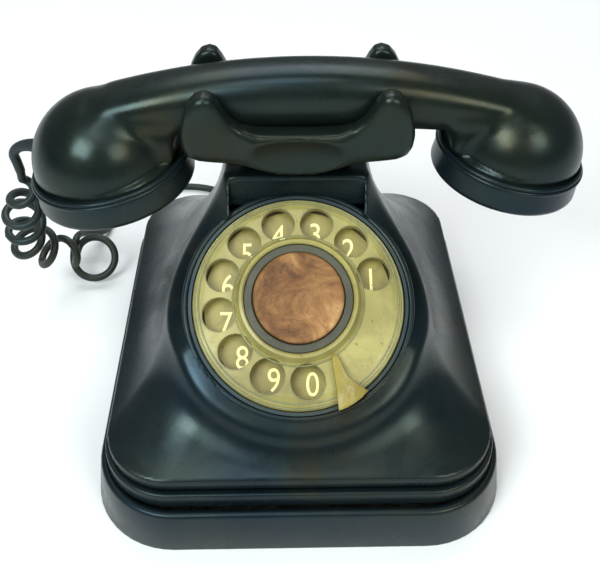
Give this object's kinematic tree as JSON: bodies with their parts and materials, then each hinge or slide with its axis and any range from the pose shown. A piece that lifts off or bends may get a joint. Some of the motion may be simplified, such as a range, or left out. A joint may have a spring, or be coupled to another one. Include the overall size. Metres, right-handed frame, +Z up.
{
  "type": "rotary telephone",
  "caption": "Desk telephone with a rotary dial, waisted body on a stepped plinth, horned cradle, one-piece handset and a curly handset cord.",
  "frame": {"origin": "centre of the body's bottom rim, on the surface that the telephone stands on", "axes": "+X to the right of a person at the dial, +Y to the back, +Z up"},
  "size_m": [0.2424, 0.2246, 0.1505],
  "materials": {
    "shell": "satin, worn grey-green moulding",
    "cord": "satin",
    "foot_rubber": "matte",
    "steel": "zinc-plated",
    "screws": "satin",
    "brass": "satin",
    "cast_metal": "as cast",
    "clear_plastic": "clear, yellowed",
    "dial_black": "satin",
    "dial_frame": "satin",
    "label": "faded card",
    "stop_paint": "chipped enamel",
    "bell_metal": "nickel-plated",
    "winding": "varnished cloth tape",
    "can": "drawn can",
    "phenolic": "moulded"
  },
  "bodies": {
    "case": {"plinth": "shell", "base_plate": "steel", "rubber_feet": "foot_rubber", "housing": "shell", "base_screws": "screws", "dial_base": "cast_metal", "dial_bridge": "steel", "number_plate": "dial_black", "dial_bezel": "dial_frame", "finger_stop": "stop_paint", "governor_cup": "steel", "governor_bracket": "steel", "pulse_contacts": "brass", "return_spring": "steel", "neck_bushing": "brass", "cradle_spring": "steel", "hook_bracket": "steel", "lever_pin": "steel", "hook_contacts": "brass", "gong_left": "bell_metal", "gong_right": "bell_metal", "gong_posts": "steel", "gong_screws": "screws", "ringer_coils": "winding", "ringer_frame": "steel", "induction_coil": "winding", "capacitor": "can", "terminal_block": "phenolic", "terminal_screws": "screws", "cord_curl": "cord", "cord_lead": "cord", "cord_outlet": "cord"},
    "dial": {"finger_wheel": "clear_plastic", "centre_ring": "dial_frame", "centre_label": "label", "dial_shaft": "steel", "main_gear": "brass"},
    "pulse_shaft": {"layshaft": "steel", "pinion": "brass", "worm_wheel": "brass"},
    "governor": {"governor_shaft": "steel", "governor_weights": "brass"},
    "cradle": {"cradle": "shell", "cradle_stem": "steel"},
    "hook_lever": {"hook_lever": "steel"},
    "bell_hammer": {"bell_hammer": "steel"},
    "handset": {"handset_body": "shell", "mouth_cap": "shell", "ear_cap": "shell", "transmitter": "cast_metal", "receiver": "cast_metal", "cord_gland": "cord"}
  },
  "joints": [
    {"name": "cradle_slide", "type": "slide", "parent": "case", "child": "cradle", "axis": [0, 0, 1], "range_m": [0, 0.0045], "stiffness_N_per_m": 300, "springref_m": 0.01, "deforming": ["cradle_spring"]},
    {"name": "handset_lift", "type": "slide", "parent": "cradle", "child": "handset", "axis": [0, 0, 1], "range_m": [0, 0.09]},
    {"name": "hook_lever_turn", "type": "hinge", "parent": "case", "child": "hook_lever", "pos_m": [-0.02, 0.011, 0.054], "axis": [0, -1, 0], "range_deg": [0, 13]},
    {"name": "dial_turn", "type": "hinge", "parent": "case", "child": "dial", "pos_m": [0, -0.0369, 0.073], "axis": [0, 0.5693, -0.8221], "range_deg": [0, 320], "stiffness_Nm_per_rad": 0.008, "springref_deg": -143.24},
    {"name": "pulse_shaft_turn", "type": "hinge", "parent": "case", "child": "pulse_shaft", "pos_m": [-0.0113, -0.04445, 0.04953], "axis": [0, 0.5693, -0.8221], "range_deg": [-1281, 0]},
    {"name": "governor_turn", "type": "hinge", "parent": "case", "child": "governor", "pos_m": [0, -0.04892, 0.04157], "axis": [1, 0, 0], "range_deg": [0, 6402]},
    {"name": "hammer_swing", "type": "hinge", "parent": "case", "child": "bell_hammer", "pos_m": [0, 0.0615, 0.0124], "axis": [0, 0, 1], "range_deg": [-6, 6], "stiffness_Nm_per_rad": 0.02}
  ],
  "couplings": [
    {"joint": "hook_lever_turn", "follows": "cradle_slide", "rad_per_m": 50},
    {"joint": "pulse_shaft_turn", "follows": "dial_turn", "ratio": -4},
    {"joint": "governor_turn", "follows": "dial_turn", "ratio": 20}
  ]
}
